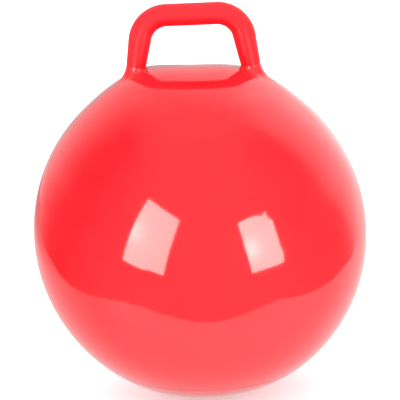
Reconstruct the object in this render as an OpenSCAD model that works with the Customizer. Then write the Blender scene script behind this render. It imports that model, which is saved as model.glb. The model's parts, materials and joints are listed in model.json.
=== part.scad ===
// Hopper ball with a D-shaped handle and a plug valve.
// Millimetres. +Z is up, the front faces -Y, and the origin is the centre of the flat contact patch.

/* [Ball] */
// Diameter of the inflated ball
ball_d = 450; // [380:5:600]
// Wall of the ball
wall = 1.2; // [1:0.1:3]
// Diameter of the flat patch that the ball stands on
contact_d = 76; // [40:1:96]

/* [Moulded marks] */
// Angle of the moulded ring from the bottom of the ball, in degrees
ring_angle = 39.5; // [25:0.5:60]
// Width of the moulded ring's groove
ring_w = 1.8; // [1:0.1:3]
// Depth of the moulded ring's groove
ring_depth = 0.4; // [0.2:0.05:0.5]
// Angle of the pip mark from the top of the ball, in degrees
pip_angle = 33.5; // [30:0.5:60]
// Angle of the pip mark to the right of the front, in degrees
pip_turn = 10.5; // [-30:0.5:30]
// Diameter of the pip mark's dimple
pip_d = 3; // [2:0.1:4]
// Depth of the pip mark's dimple
pip_depth = 0.5; // [0.3:0.05:0.6]

/* [Handle] */
// Outer diameter of the grip bar and its bends
grip_d = 29.6; // [24:0.2:34]
// Length of the straight grip bar between its bends
grip_w = 66.6; // [50:0.2:90]
// Clear height between the ball and the grip bar
hand_gap = 54.2; // [45:0.2:70]
// Radius of the bends, to the middle of the tube
bend_r = 36; // [30:1:44]
// Lean of the legs from upright, in degrees
leg_lean = 10.5; // [4:0.5:14]
// Outer diameter of a leg at its foot
leg_foot_d = 25.8; // [22:0.2:29]
// Wall of the handle
handle_wall = 2.6; // [1.5:0.1:4]
// Length of the spigot under each leg
spigot_len = 12; // [8:1:16]
// Wall of the spigot
spigot_wall = 2; // [1.2:0.1:3]
// Clearance round the spigot
spigot_gap = 0.1; // [0.05:0.05:0.3]
// Lap of a bend into the grip bar and of a leg into its bend
tube_lap = 1.5; // [1:0.1:2]
// How much thinner the lapped tube is, on the radius
lap_step = 0.1; // [0.06:0.02:0.2]

/* [Shoulders] */
// Height of the broad shoulder under each leg over the round of the ball
boss_rise = 6; // [2:0.5:10]
// Diameter of each broad shoulder
boss_d = 120; // [100:2:140]
// Radius of the hollow blend from a leg into its shoulder
shoulder_r = 40; // [25:1:60]
// Wall of the shoulders, and round the spigots
neck_wall = 3; // [2:0.1:4]
// Width of the blend's rim that is left off where it meets the shoulder
blend_rim = 3; // [2:0.5:6]

/* [Valve] */
// Height of the valve above the middle of the ball at the back, in degrees
valve_angle = 40; // [25:1:50]
// Diameter of the hole for the plug
valve_bore_d = 8; // [6:0.5:10]
// Diameter of the seat's collar
seat_d = 26; // [25:0.5:30]
// Depth of the seat below the outside of the ball
seat_depth = 15; // [12:0.5:20]
// Diameter of the seat's inner flange
flange_d = 38; // [34:1:46]
// Thickness of the seat's inner flange
flange_t = 3; // [2:0.1:5]
// Bond line between the seat and the skin
bond_gap = 0.1; // [0.05:0.05:0.3]
// Width of the fingernail notch in the seat's rim
notch_w = 5; // [3:0.5:6]

/* [Plug] */
// Diameter of the plug's head
plug_head_d = 18; // [15:0.5:19]
// Thickness of the plug's head
plug_head_t = 2.4; // [1.8:0.1:3]
// Length of the plug's stem
stem_len = 19; // [14:0.5:24]
// Height of one rib on the stem
rib_h = 1.6; // [1:0.1:2]
// Depth of the stem between its ribs
rib_depth = 0.5; // [0.3:0.1:0.8]
// Number of ribs on the stem
rib_count = 4; // [2:1:5]
// Length of the stem's tapered nose
nose_len = 3; // [2:0.5:4]
// Diameter of the blind core in the stem
core_d = 3.2; // [2:0.2:4]
// Depth of the dimple in the head
dimple_depth = 0.6; // [0.3:0.1:1]
// Diameter of the dimple in the head
dimple_d = 9; // [6:0.5:12]
// Running clearance of the stem in its hole, on the radius
stem_gap = 0.06; // [0.03:0.01:0.09]
// Clearance round and under the plug's head
head_gap = 0.3; // [0.2:0.05:0.6]

/* [Hidden] */
$fn = 96;
// Facets of the large spheres in a preview
ball_fn = 256;
pvc_red = "#ff3b45";
plug_white = "#f2f1ec";
// Overrun of every cut
over = 1;

ball_r = ball_d / 2;
inner_r = ball_r - wall;
mid_z = sqrt(ball_r * ball_r - contact_d * contact_d / 4);

grip_r = grip_d / 2;
bend_tube_r = grip_r - lap_step;
leg_top_r = bend_tube_r - lap_step;
leg_r = leg_foot_d / 2;
bar_z = mid_z + ball_r + hand_gap + grip_r;
bend_x = grip_w / 2;
bend_z = bar_z - bend_r;

// The leg's own frame has its origin where the leg meets the bend, +Z up along the leg and +X outwards.
leg_x = bend_x + bend_r * cos(leg_lean);
leg_z = bend_z + bend_r * sin(leg_lean);
// The ball's centre in the leg's frame
ball_u = -leg_x * cos(leg_lean) - (leg_z - mid_z) * sin(leg_lean);
ball_s = leg_x * sin(leg_lean) - (leg_z - mid_z) * cos(leg_lean);
// A broad shoulder is a cap of a smaller ball, which stands highest where the leg's axis comes out of it.
boss_top_r = ball_r + boss_rise;
boss_rim_h = sqrt(ball_r * ball_r - boss_d * boss_d / 4);
boss_r = cap_r(boss_d, boss_top_r - boss_rim_h);
boss_top_s = ball_s + sqrt(boss_top_r * boss_top_r - ball_u * ball_u);
boss_angle = asin((leg_x - boss_top_s * sin(leg_lean)) / boss_top_r);
// The smaller ball's centre in the leg's frame
boss_u = ball_u * boss_r / boss_top_r;
boss_s = boss_top_s + (ball_s - boss_top_s) * boss_r / boss_top_r;
// The blend's centre stands shoulder_r off the leg's foot and off the shoulder. The foot is level with it.
blend_u = leg_r + shoulder_r;
foot_s = boss_s + sqrt(pow(boss_r + shoulder_r, 2) - pow(blend_u - boss_u, 2));
// The blend ends a rim short of the line where it touches the shoulder.
touch_u = boss_u + (blend_u - boss_u) * boss_r / (boss_r + shoulder_r);
rim_u = touch_u - blend_rim;
// How high a shoulder of radius r stands at u, in the leg's frame
function shell_s(r, u) = boss_s + sqrt(r * r - pow(u - boss_u, 2));
// The radius of a round cap, dimple or groove of this width and depth
function cap_r(w, depth) = (w * w / 4 + depth * depth) / (2 * depth);
neck_bore_r = leg_r - neck_wall;
spigot_r = neck_bore_r - spigot_gap;

bore_r = valve_bore_d / 2;
stem_r = bore_r - stem_gap;
seat_r = seat_d / 2;
head_r = plug_head_d / 2;
// The head's top is level with the ball's outside at the valve's axis.
recess_floor = ball_r - plug_head_t - head_gap;
recess_r = head_r + head_gap;
rib_pitch = (stem_len - nose_len) / rib_count;

module at_middle() {
  translate([0, 0, mid_z]) children();
}

// Both legs' frames, the left one mirrored
module at_legs() {
  for (side = [0, 1])
    mirror([side, 0, 0])
      translate([leg_x, 0, leg_z])
        rotate([0, -leg_lean, 0])
          children();
}

// +Z runs outwards along the valve's axis, from the ball's centre
module at_valve() {
  at_middle()
    rotate([valve_angle - 90, 0, 0])
      children();
}

// A ball that is cut flat at a floor
module flat_ball(r, floor_z) {
  rotate_extrude($fn = ball_fn)
    intersection() {
      translate([0, mid_z]) circle(r, $fn = ball_fn);
      translate([0, floor_z]) square([ball_d, ball_d]);
    }
}

// The caps of both broad shoulders, less a wall, down to a base inside the ball
module bosses(inset) {
  base_h = boss_rim_h - neck_wall - inset;
  at_middle()
    for (side = [0, 1])
      mirror([side, 0, 0])
        rotate([0, boss_angle, 0])
          rotate_extrude($fn = ball_fn)
            intersection() {
              translate([0, boss_top_r - boss_r]) circle(boss_r - inset, $fn = ball_fn);
              translate([0, base_h]) square([boss_d, boss_d]);
            }
}

// A flare under one leg, in the leg's frame, with its top and its inset from the blend's outside
module flare(top_s, inset) {
  bottom_s = shell_s(boss_r, rim_u) - neck_wall;
  rotate_extrude()
    difference() {
      translate([0, bottom_s]) square([rim_u, top_s - bottom_s]);
      translate([blend_u, foot_s]) circle(shoulder_r + inset);
    }
}

// The way from a spigot into the ball, in the leg's frame
module neck_bore() {
  bottom_s = shell_s(boss_r - wall, neck_bore_r) - over;
  translate([0, 0, bottom_s])
    cylinder(r = neck_bore_r, h = foot_s + over - bottom_s);
}

module ring_groove() {
  groove_r = cap_r(ring_w, ring_depth);
  at_middle()
    rotate_extrude()
      rotate(ring_angle - 90)
        translate([ball_r - ring_depth + groove_r, 0])
          circle(groove_r);
}

module pip_mark() {
  pip_r = cap_r(pip_d, pip_depth);
  at_middle()
    rotate([pip_angle, 0, pip_turn])
      translate([0, 0, ball_r - pip_depth + pip_r])
        sphere(pip_r);
}

module ball_skin() {
  color(pvc_red)
    difference() {
      union() {
        flat_ball(ball_r, 0);
        bosses(0);
        at_legs() flare(foot_s, 0);
      }
      flat_ball(inner_r, wall);
      bosses(wall);
      at_legs() flare(foot_s - spigot_len, neck_wall);
      at_legs() neck_bore();
      at_valve() cylinder(r = seat_r + bond_gap, h = ball_r + over);
      ring_groove();
      pip_mark();
    }
}

// The D-shaped tube down to its feet, less a wall all round
module handle_tube(inset) {
  // A bend runs under the bar's end and over the leg's top.
  lap_angle = atan(tube_lap / bend_r);
  translate([0, 0, bar_z])
    rotate([0, 90, 0])
      cylinder(r = grip_r - inset, h = grip_w, center = true);
  for (side = [0, 1])
    mirror([side, 0, 0])
      translate([bend_x, 0, bend_z])
        rotate([90, 0, 0])
          rotate([0, 0, leg_lean - lap_angle])
            rotate_extrude(angle = 90 - leg_lean + 2 * lap_angle)
              translate([bend_r, 0]) circle(bend_tube_r - inset);
  at_legs()
    translate([0, 0, foot_s + inset])
      cylinder(r1 = leg_r - inset, r2 = leg_top_r - inset, h = -foot_s - inset);
}

module handle() {
  spigot_bore_r = spigot_r - spigot_wall;
  color(pvc_red)
    difference() {
      union() {
        handle_tube(0);
        at_legs()
          translate([0, 0, foot_s - spigot_len])
            cylinder(r = spigot_r, h = spigot_len + handle_wall / 2);
      }
      handle_tube(handle_wall);
      // The spigot's bore opens into the leg.
      at_legs()
        translate([0, 0, foot_s - spigot_len - over])
          cylinder(r = spigot_bore_r, h = spigot_len + handle_wall + 2 * over);
    }
}

module valve_seat() {
  flange_r = flange_d / 2;
  flange_top_r = inner_r - bond_gap;
  flange_bottom = sqrt(flange_top_r * flange_top_r - flange_r * flange_r) - flange_t;
  color(pvc_red)
    at_valve()
      difference() {
        rotate_extrude()
          difference() {
            union() {
              // Collar, flush with the ball's outside
              intersection() {
                translate([0, ball_r - seat_depth]) square([seat_r, seat_depth]);
                circle(ball_r, $fn = ball_fn);
              }
              // Flange, under the skin
              intersection() {
                translate([0, flange_bottom]) square([flange_r, ball_r - flange_bottom]);
                circle(flange_top_r, $fn = ball_fn);
              }
            }
            translate([0, ball_r - seat_depth - over]) square([bore_r, seat_depth + over]);
            translate([0, recess_floor]) square([recess_r, plug_head_t + over]);
          }
        // Fingernail notch beside the plug's head
        translate([0, recess_r - notch_w / 4, recess_floor])
          cylinder(d = notch_w, h = plug_head_t + over);
      }
}

module valve_plug() {
  head_bottom = ball_r - plug_head_t;
  edge_r = plug_head_t / 4;
  dimple_r = cap_r(dimple_d, dimple_depth);
  color(plug_white)
    at_valve()
      difference() {
        union() {
          // Head with a rounded edge
          rotate_extrude() {
            translate([0, head_bottom]) square([head_r - edge_r, plug_head_t]);
            translate([0, head_bottom + edge_r]) square([head_r, plug_head_t - 2 * edge_r]);
            translate([head_r - edge_r, head_bottom + edge_r]) circle(edge_r);
            translate([head_r - edge_r, ball_r - edge_r]) circle(edge_r);
          }
          // Stem, ribs and tapered nose
          translate([0, 0, head_bottom - stem_len + nose_len])
            cylinder(r = stem_r - rib_depth, h = stem_len - nose_len);
          for (i = [0 : rib_count - 1])
            translate([0, 0, head_bottom - (i + 1) * rib_pitch])
              cylinder(r = stem_r, h = rib_h);
          translate([0, 0, head_bottom - stem_len])
            cylinder(r1 = stem_r - 2 * rib_depth, r2 = stem_r - rib_depth, h = nose_len);
        }
        translate([0, 0, head_bottom - stem_len - over])
          cylinder(d = core_d, h = stem_len + over);
        translate([0, 0, ball_r - dimple_depth + dimple_r]) sphere(dimple_r);
      }
}

ball_skin();
handle();
valve_seat();
valve_plug();
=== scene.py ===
"""Hopper ball: the gloss skin, the D-shaped handle and the plug valve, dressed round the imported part.

Lengths are in metres, in the part's own frame: Z up through the handle, X along the grip bar, -Y the front.
Angles are in radians, apart from the azimuths and elevations in the studio's tables, which are in degrees.
"""

import json
import logging
import math
from dataclasses import dataclass
from enum import Enum
from functools import partial
from typing import Callable, Iterable, Sequence

import bmesh
import bpy
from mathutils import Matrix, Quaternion, Vector


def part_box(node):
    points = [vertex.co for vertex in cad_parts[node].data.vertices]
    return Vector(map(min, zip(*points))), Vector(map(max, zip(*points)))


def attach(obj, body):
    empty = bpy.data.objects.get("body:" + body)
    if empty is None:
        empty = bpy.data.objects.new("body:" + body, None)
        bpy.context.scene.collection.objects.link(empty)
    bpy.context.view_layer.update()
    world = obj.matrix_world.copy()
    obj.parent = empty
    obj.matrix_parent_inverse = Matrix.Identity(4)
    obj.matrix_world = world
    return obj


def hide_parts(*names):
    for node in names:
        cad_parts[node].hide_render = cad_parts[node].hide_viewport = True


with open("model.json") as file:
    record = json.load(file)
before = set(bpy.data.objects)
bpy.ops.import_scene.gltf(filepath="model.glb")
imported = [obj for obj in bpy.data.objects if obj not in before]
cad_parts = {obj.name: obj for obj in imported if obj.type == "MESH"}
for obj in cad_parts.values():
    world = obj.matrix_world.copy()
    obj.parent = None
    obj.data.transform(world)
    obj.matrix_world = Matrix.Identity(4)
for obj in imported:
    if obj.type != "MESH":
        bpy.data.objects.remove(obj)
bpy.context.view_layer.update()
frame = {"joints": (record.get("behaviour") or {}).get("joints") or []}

LOG = logging.getLogger("hopper_ball")
FULL_TURN = 2 * math.pi
SAME_PLACE_DIGITS = 7
MERGE_DISTANCE = 2e-6

Ring = Callable[[float], Vector]
Station = tuple[Vector, Vector, float]
Pairs = tuple[tuple[float, float], ...]
Stops = Sequence[tuple[float, tuple[float, float, float]]]
Element = bmesh.types.BMVert | bmesh.types.BMEdge | bmesh.types.BMFace
Socket = bpy.types.NodeSocket
Value = Socket | float | Sequence[float]


class Side(Enum):
    """The two legs of the handle, by the sign of their X."""

    LEFT = -1
    RIGHT = 1


class Body(Enum):
    """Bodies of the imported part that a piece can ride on."""

    BALL = "ball"
    PLUG = "plug"


class Pace(Enum):
    """How a range is mapped onto another one: evenly, or slowly at both ends."""

    EVEN = "LINEAR"
    SMOOTH = "SMOOTHSTEP"


class Ray(Enum):
    """Kinds of ray that the stage answers in their own way."""

    CAMERA = "Is Camera Ray"
    GLOSSY = "Is Glossy Ray"


def ease(a: float, b: float, share: float) -> float:
    """Go smoothly from a to b as share goes from 0 to 1."""
    share = min(1.0, max(0.0, share))
    return a + (b - a) * share * share * (3 - 2 * share)


def mix(a: float, b: float, share: float) -> float:
    """Go evenly from a to b as share goes from 0 to 1."""
    return a + (b - a) * share


@dataclass
class Axes:
    """A frame round an axis that runs out of the ball: a distance from the axis, a turn and a height."""

    origin: Vector
    axis: Vector
    out_way: Vector

    def __post_init__(self) -> None:
        """Find the third way, square to the other two."""
        self.axis = self.axis.normalized()
        self.out_way = self.out_way.normalized()
        self.side_way = self.axis.cross(self.out_way)

    def point(self, rho: float, turn: float, s: float) -> Vector:
        """The point at a distance from the axis, a turn round it and a height along it."""
        ring = self.out_way * math.cos(turn) + self.side_way * math.sin(turn)
        return self.origin + ring * rho + self.axis * s

    def local(self, p: Vector) -> tuple[float, float, float]:
        """Read a point in this frame.

        Args:
            p: The point.

        Returns:
            Its distance from the axis, its turn round it and its height along it.
        """
        d = p - self.origin
        x, y = d.dot(self.out_way), d.dot(self.side_way)
        return math.hypot(x, y), math.atan2(y, x), d.dot(self.axis)


@dataclass
class Sizes:
    """Sizes that the pieces share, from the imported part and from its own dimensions.

    The soft ball is a little out of round: stretched along a leaning line, flatter at its crown and raised
    behind each leg. The boss is the broad shoulder under a leg. The values named from and fade say where
    such a form begins and over what range it grows, as the Z of a unit way or the angle from the valve.
    """

    patch_r: float = 0.038
    grip_r: float = 0.0148
    grip_w: float = 0.0666
    bend_r: float = 0.036
    leg_lean: float = math.radians(10.5)
    leg_foot_r: float = 0.0131
    leg_top_r: float = 0.0152
    shoulder_r: float = 0.040
    boss_rise: float = 0.0055
    boss_d: float = 0.120
    boss_soft: float = 0.0018
    boss_squash: float = 0.55
    stretch: float = 0.0115
    stretch_lean: float = math.radians(32)
    base_from: float = -0.985
    base_fade: float = 0.15
    valve_from: float = 0.15
    valve_fade: float = 0.5
    crown_drop: float = 0.0018
    crown_from: float = 0.8
    crown_fade: float = 0.17
    ridge_rise_left: float = 0.0042
    ridge_rise_right: float = 0.0020
    ridge_x: float = 0.068
    ridge_w: float = 0.019
    ridge_y: float = 0.050
    ridge_l: float = 0.024
    neck_wall: float = 0.003
    seam: float = 0.0005
    lip_near_share: float = 0.12
    lip_far_share: float = 0.45
    settle_rounds: int = 10

    def __post_init__(self) -> None:
        """Read the ball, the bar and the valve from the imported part, and work out the legs."""
        low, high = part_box("ball_skin")
        self.ball_r = (high.x - low.x) / 2
        self.centre = Vector((0, 0, math.sqrt(self.ball_r ** 2 - self.patch_r ** 2)))
        self.bar_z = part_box("handle")[1].z - self.grip_r
        self.bend_x = self.grip_w / 2
        self.bend_z = self.bar_z - self.bend_r
        valve_way = Vector(frame["joints"][0]["axis"]).normalized()
        self.valve = Axes(self.centre, valve_way, Vector((1, 0, 0)))
        top_r = self.ball_r + self.boss_rise
        rise = top_r - math.sqrt(self.ball_r ** 2 - self.boss_d ** 2 / 4)
        self.boss_r = (self.boss_d ** 2 / 4 + rise ** 2) / (2 * rise)
        self.bosses: list[Vector] = []
        for side in Side:
            leg = self.leg(side)
            far, _, height = leg.local(self.centre)
            top = leg.point(0, 0, height + math.sqrt(top_r ** 2 - far ** 2)) - self.centre
            self.bosses.append(top.normalized() * (top_r - self.boss_r))
        rho, turn, self.boss_s = self.leg(Side.RIGHT).local(self.centre + self.bosses[-1])
        self.boss_u = rho * math.cos(turn)
        self.blend_u = self.leg_foot_r + self.shoulder_r
        reach = self.boss_r + self.shoulder_r
        foot = self.boss_s + math.sqrt(reach ** 2 - (self.blend_u - self.boss_u) ** 2)
        self.feet = {side: foot + self.lean_out(boss.normalized()) for side, boss in zip(Side, self.bosses)}

    def leg(self, side: Side) -> Axes:
        """Find the frame of one leg.

        Args:
            side: The leg.

        Returns:
            A frame with its origin where the leg meets its bend and its axis up along the leg.
        """
        x = self.bend_x + self.bend_r * math.cos(self.leg_lean)
        z = self.bend_z + self.bend_r * math.sin(self.leg_lean)
        up = Vector((-side.value * math.sin(self.leg_lean), 0, math.cos(self.leg_lean)))
        out = Vector((side.value * math.cos(self.leg_lean), 0, math.sin(self.leg_lean)))
        return Axes(Vector((side.value * x, 0, z)), up, out)

    def lean_out(self, way: Vector) -> float:
        """Find how far the soft ball stands out of true round. Its base and its valve stay where they are.

        Args:
            way: A unit way from the ball's centre.

        Returns:
            The distance, less than zero where the ball is flatter.
        """
        long_way = Vector((-math.sin(self.stretch_lean), 0, math.cos(self.stretch_lean)))
        cross_way = Vector((long_way.z, 0, -long_way.x))
        base = ease(0.0, 1.0, (way.z - self.base_from) / self.base_fade)
        valve = ease(0.0, 1.0, (way.angle(self.valve.axis) - self.valve_from) / self.valve_fade)
        lean = self.ball_r * self.stretch * base * valve * (long_way.dot(way) ** 2 - cross_way.dot(way) ** 2)
        lean -= self.crown_drop * ease(0.0, 1.0, (way.z - self.crown_from) / self.crown_fade)
        if way.z < 0:
            return lean
        across = (abs(way.x) * self.ball_r - self.ridge_x) / self.ridge_w
        behind = (way.y * self.ball_r - self.ridge_y) / self.ridge_l
        rise = self.ridge_rise_left if way.x < 0 else self.ridge_rise_right
        return lean + rise * math.exp(-(across ** 2 + behind ** 2) / 2)

    def out(self, way: Vector) -> Vector:
        """Find the point of the skin's outside in a direction, over the broad shoulders.

        Args:
            way: The direction from the ball's centre, of any length.

        Returns:
            The point.
        """
        way = way.normalized()
        broad = Vector((way.x, way.y * self.boss_squash, way.z)).normalized()
        total = 1.0
        for boss in self.bosses:
            along = boss.dot(broad)
            height = along + math.sqrt(self.boss_r ** 2 - boss.length_squared + along ** 2) - self.ball_r
            total += math.exp(height / self.boss_soft)
        return self.centre + way * (self.ball_r + self.boss_soft * math.log(total) + self.lean_out(way))

    def on_ball(self, axes: Axes, rho: float, turn: float) -> Vector:
        """Find the point of the skin's outside at a place round an axis that runs out of it.

        Args:
            axes: The frame round the axis.
            rho: The distance from the axis.
            turn: The turn round it.

        Returns:
            The point.
        """
        far, way, height = axes.local(self.centre)
        across = far * far + rho * rho - 2 * far * rho * math.cos(turn - way)
        reach = self.ball_r
        for _ in range(self.settle_rounds):
            spot = axes.point(rho, turn, height + math.sqrt(reach ** 2 - across))
            reach = (self.out(spot - self.centre) - self.centre).length
        return spot

    def under(self, axes: Axes, rho: float, deep: float, turn: float) -> Vector:
        """The point at a depth under on_ball's point, measured along the axis."""
        return self.on_ball(axes, rho, turn) - axes.axis * deep


class Bench:
    """Moves of the modelling bench: parts of a mesh are selected in code, then an operator edits them."""

    @staticmethod
    def clear() -> None:
        """Leave edit mode and deselect every object."""
        if bpy.context.object and bpy.context.object.mode != "OBJECT":
            bpy.ops.object.mode_set(mode="OBJECT")
        bpy.ops.object.select_all(action="DESELECT")

    @staticmethod
    def choose(piece: bpy.types.Object) -> None:
        """Make a piece the only one that is selected, and the active one.

        Args:
            piece: The piece.
        """
        Bench.clear()
        piece.select_set(True)
        bpy.context.view_layer.objects.active = piece

    @staticmethod
    def named(name: str) -> bpy.types.Object:
        """Name the primitive that was just added.

        Args:
            name: The piece's name.

        Returns:
            The new object.
        """
        piece = bpy.context.object
        piece.name = piece.data.name = name
        return piece

    @staticmethod
    def edit(piece: bpy.types.Object, kind: str) -> bmesh.types.BMesh:
        """Open a piece in edit mode with nothing selected.

        Args:
            piece: The piece to edit.
            kind: The select mode: VERT, EDGE or FACE.

        Returns:
            The piece's edit mesh, to be held for as long as its vertices, edges or faces are in use.
        """
        Bench.choose(piece)
        bpy.ops.object.mode_set(mode="EDIT")
        bpy.ops.mesh.select_mode(type=kind)
        bpy.ops.mesh.select_all(action="DESELECT")
        return bmesh.from_edit_mesh(piece.data)

    @staticmethod
    def pick(piece: bpy.types.Object, items: Iterable[Element]) -> None:
        """Select some vertices, edges or faces of the piece that is open.

        Args:
            piece: The piece.
            items: What to select.
        """
        for item in items:
            item.select = True
        mesh = bmesh.from_edit_mesh(piece.data)
        mesh.select_flush_mode()
        bmesh.update_edit_mesh(piece.data)

    @staticmethod
    def walk(edges: Sequence[bmesh.types.BMEdge]) -> list[bmesh.types.BMVert]:
        """Follow a closed loop of edges.

        Args:
            edges: The loop's edges, in any order.

        Returns:
            Its vertices, in order round the loop.
        """
        links: dict[int, list[bmesh.types.BMVert]] = {}
        for e in edges:
            a, b = e.verts
            links.setdefault(a.index, []).append(b)
            links.setdefault(b.index, []).append(a)
        at = edges[0].verts[0]
        loop, before = [at], None
        while True:
            step = [v for v in links[at.index] if before is None or v.index != before.index][0]
            if step.index == loop[0].index:
                return loop
            loop.append(step)
            before, at = at, step

    @staticmethod
    def grow(piece: bpy.types.Object, places: Sequence[Vector], ring: Sequence[Vector]) -> list[Vector]:
        """Extrude the selected loop of edges and put each new vertex in its place.

        Args:
            piece: The piece that is open.
            places: Where the vertices of the selected loop are.
            ring: Where the new vertices go, in the same order.

        Returns:
            Where the new vertices are.
        """
        order = {p.to_tuple(SAME_PLACE_DIGITS): i for i, p in enumerate(places)}
        bpy.ops.mesh.extrude_edges_indiv()
        mesh = bmesh.from_edit_mesh(piece.data)
        kept: list[Vector] = [Vector()] * len(ring)
        for v in mesh.verts:
            if v.select:
                i = order[v.co.to_tuple(SAME_PLACE_DIGITS)]
                v.co = ring[i]
                kept[i] = v.co.copy()
        bmesh.update_edit_mesh(piece.data)
        return kept

    @staticmethod
    def loft(name: str, rings: Sequence[Ring], segments: int, shut: bool) -> bpy.types.Object:
        """Extrude a circle from ring to ring.

        Args:
            name: The piece's name.
            rings: For each ring, a function from a turn to a point.
            segments: How many edges a ring has.
            shut: Whether the first and last ring close to a point. Otherwise they stay open, or meet.

        Returns:
            The new piece, not yet closed or smoothed.
        """
        Bench.clear()
        bpy.ops.mesh.primitive_circle_add(vertices=segments, radius=1, location=(0, 0, 0))
        piece = Bench.named(name)
        mesh = Bench.edit(piece, "EDGE")
        loop = Bench.walk(list(mesh.edges))
        turns = [math.atan2(v.co.y, v.co.x) for v in loop]
        for v, turn in zip(loop, turns):
            v.co = rings[0](turn)
        places = [v.co.copy() for v in loop]
        Bench.pick(piece, mesh.edges)
        for ring in rings[1:]:
            places = Bench.grow(piece, places, [ring(turn) for turn in turns])
        if shut:
            bpy.ops.mesh.merge(type="CENTER")
            mesh = bmesh.from_edit_mesh(piece.data)
            Bench.pick(piece, [e for e in mesh.edges if e.is_boundary])
            bpy.ops.mesh.merge(type="CENTER")
        Bench.clear()
        return piece

    @staticmethod
    def panel(name: str, corners: Sequence[Vector]) -> bpy.types.Object:
        """Lay one face through some corners.

        Args:
            name: The piece's name.
            corners: Its corners, in order round it.

        Returns:
            The new piece.
        """
        Bench.clear()
        count = len(corners)
        bpy.ops.mesh.primitive_circle_add(vertices=count, radius=1, fill_type="NGON", location=(0, 0, 0))
        piece = Bench.named(name)
        mesh = Bench.edit(piece, "VERT")
        for v, corner in zip(Bench.walk(list(mesh.edges)), corners):
            v.co = corner
        Bench.clear()
        return piece

    @staticmethod
    def close(piece: bpy.types.Object, crisp: float) -> None:
        """Merge doubles, turn the faces outward and smooth the shading.

        Args:
            piece: The piece to close.
            crisp: Edges that turn by more than this angle stay crisp.
        """
        Bench.edit(piece, "VERT")
        bpy.ops.mesh.select_all(action="SELECT")
        bpy.ops.mesh.remove_doubles(threshold=MERGE_DISTANCE)
        bpy.ops.mesh.normals_make_consistent(inside=False)
        Bench.choose(piece)
        bpy.ops.object.shade_smooth_by_angle(angle=crisp)

    @staticmethod
    def wall(piece: bpy.types.Object, thickness: float, group: str = "") -> None:
        """Give a shell its wall, on the inner side.

        Args:
            piece: The shell.
            thickness: The wall, where no vertex group thins it.
            group: The vertex group whose weights scale the wall, if there is one.
        """
        solid = piece.modifiers.new("wall", "SOLIDIFY")
        solid.thickness = thickness
        solid.offset = -1
        solid.vertex_group = group
        Bench.choose(piece)
        bpy.ops.object.modifier_apply(modifier=solid.name)


class Web:
    """The node tree of a finish, a stage surface or a light, and short calls that add its usual nodes."""

    def __init__(self, owner: bpy.types.Material | bpy.types.World) -> None:
        """Start with an empty tree.

        Args:
            owner: The material or world that the tree belongs to.
        """
        owner.use_nodes = True
        self.tree = owner.node_tree
        self.tree.nodes.clear()

    def feed(self, entry: Socket, value: Value) -> None:
        """Link a socket to an input, or write a plain value on the input itself.

        Args:
            entry: The input.
            value: The socket or the plain value.
        """
        if isinstance(value, Socket):
            self.tree.links.new(value, entry)
        else:
            entry.default_value = value

    def add(self, kind: str, *ordered: Value, operation: str = "", **named: Value) -> bpy.types.Node:
        """Add a node.

        Args:
            kind: Its type, without the prefix ShaderNode.
            *ordered: For its first inputs in order, a plain value or a socket to link.
            operation: Its operation, where it has one.
            **named: The same for its inputs by name, with _ for each space.

        Returns:
            The new node.
        """
        node = self.tree.nodes.new("ShaderNode" + kind)
        if operation:
            node.operation = operation
        for entry, value in zip(node.inputs, ordered):
            self.feed(entry, value)
        for name, value in named.items():
            self.feed(node.inputs[name.replace("_", " ")], value)
        return node

    def place(self) -> Socket:
        """Object coordinates, which are the part's own frame."""
        return self.add("TexCoord").outputs["Object"]

    def product(self, value: Socket, by: Value) -> Socket:
        """A value times another one."""
        return self.add("Math", value, by, operation="MULTIPLY").outputs[0]

    def sum_of(self, value: Socket, more: Value) -> Socket:
        """A value plus another one."""
        return self.add("Math", value, more, operation="ADD").outputs[0]

    def distance(self, place: Socket, spot: Sequence[float]) -> Socket:
        """How far a place is from a fixed spot."""
        return self.add("VectorMath", place, spot, operation="DISTANCE").outputs["Value"]

    def span(self, value: Socket, a: float, b: float, to_a: float, to_b: float,
             pace: Pace = Pace.EVEN) -> Socket:
        """Map a range of a value onto another range, and hold the ends.

        Args:
            value: The value.
            a: Where its range begins.
            b: Where its range ends.
            to_a: The result at a.
            to_b: The result at b.
            pace: How the result goes from one end to the other.

        Returns:
            The result.
        """
        node = self.add("MapRange", Value=value, From_Min=a, From_Max=b, To_Min=to_a, To_Max=to_b)
        node.interpolation_type = pace.value
        return node.outputs["Result"]

    def ramp(self, value: Socket, stops: Stops) -> Socket:
        """Read a colour from a ramp.

        Args:
            value: The value, from 0 to 1.
            stops: Place and colour of each stop, in order.

        Returns:
            The colour.
        """
        node = self.add("ValToRGB", Fac=value)
        points = node.color_ramp.elements
        while len(points) < len(stops):
            points.new(0.5)
        for point, (at, colour) in zip(points, stops):
            point.position = at
            point.color = (*colour, 1)
        return node.outputs["Color"]

    def bump(self, height: Socket, depth: float, under: Socket | None = None) -> Socket:
        """Bend the normal by a bump.

        Args:
            height: The bump's height, from 0 to 1.
            depth: Its real depth.
            under: The normal that it lies on, if another bump comes first.

        Returns:
            The bent normal.
        """
        node = self.add("Bump", Strength=1.0, Distance=depth, Height=height)
        if under:
            self.feed(node.inputs["Normal"], under)
        return node.outputs["Normal"]

    def blend(self, ray: Ray, plain: Socket, chosen: Socket) -> Socket:
        """One shader for most rays, and another for one kind of ray."""
        return self.add("MixShader", self.add("LightPath").outputs[ray.value], plain, chosen).outputs[0]

    def glow(self, **named: Value) -> Socket:
        """Plain emitted light, by its Color and Strength."""
        return self.add("Emission", **named).outputs[0]

    def finish(self, kind: str, shader: Socket) -> None:
        """Link the last shader to the output."""
        self.add(kind, Surface=shader)


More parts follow.
